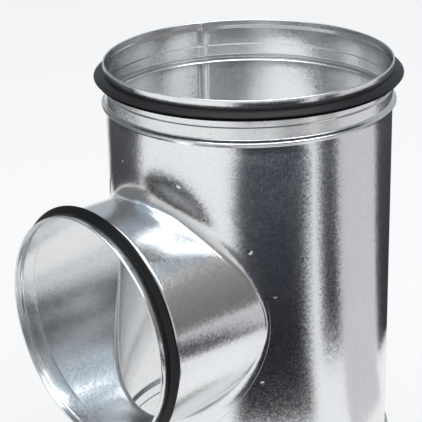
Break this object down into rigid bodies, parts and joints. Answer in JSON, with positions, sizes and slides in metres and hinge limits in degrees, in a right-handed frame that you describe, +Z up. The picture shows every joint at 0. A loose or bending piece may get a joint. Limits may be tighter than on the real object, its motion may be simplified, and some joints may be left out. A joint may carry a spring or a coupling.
{
  "type": "duct tee",
  "caption": "Round duct tee of galvanised sheet steel: a run tube with a pressed saddle branch and a rubber lip seal on each spigot.",
  "frame": {"origin": "centre of the lower mouth of the run, in the plane that the tee rests on", "axes": "+Z up along the run tube, -Y along the branch, towards its mouth"},
  "size_m": [0.266, 0.323, 0.394],
  "materials": {
    "galvanised_steel": "hot-dip galvanised sheet with small spangles, bright",
    "seal_rubber": "black moulded rubber, semi-matt"
  },
  "bodies": {
    "root": {"run_tube": "galvanised_steel", "branch_saddle": "galvanised_steel", "top_seal": "seal_rubber", "bottom_seal": "seal_rubber", "branch_seal": "seal_rubber"}
  },
  "joints": []
}
